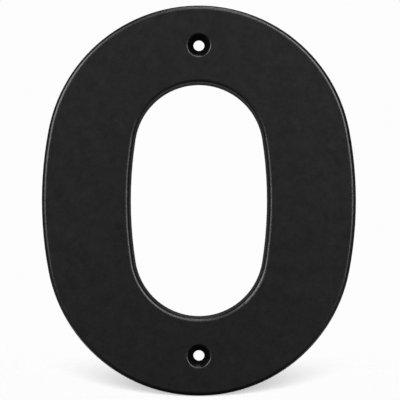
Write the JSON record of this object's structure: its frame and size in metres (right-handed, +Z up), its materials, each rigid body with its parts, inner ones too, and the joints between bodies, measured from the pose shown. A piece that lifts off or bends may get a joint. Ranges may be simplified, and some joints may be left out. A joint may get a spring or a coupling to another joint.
{
  "type": "house number",
  "caption": "Numeral zero cast as a thick flat plate with rounded edges, an open counter and countersunk screw holes at its ends, fixed to a wall or door to show an address.",
  "frame": {"origin": "middle of the back face, halfway between the two screw holes", "axes": "+Z up along the height of the numeral, +Y out of the back face into the wall, so the front faces -Y"},
  "size_m": [0.1226, 0.008, 0.1522],
  "materials": {
    "black_coat": "matte black powder coat with a fine grain"
  },
  "bodies": {
    "root": {"numeral": "black_coat"}
  },
  "joints": []
}
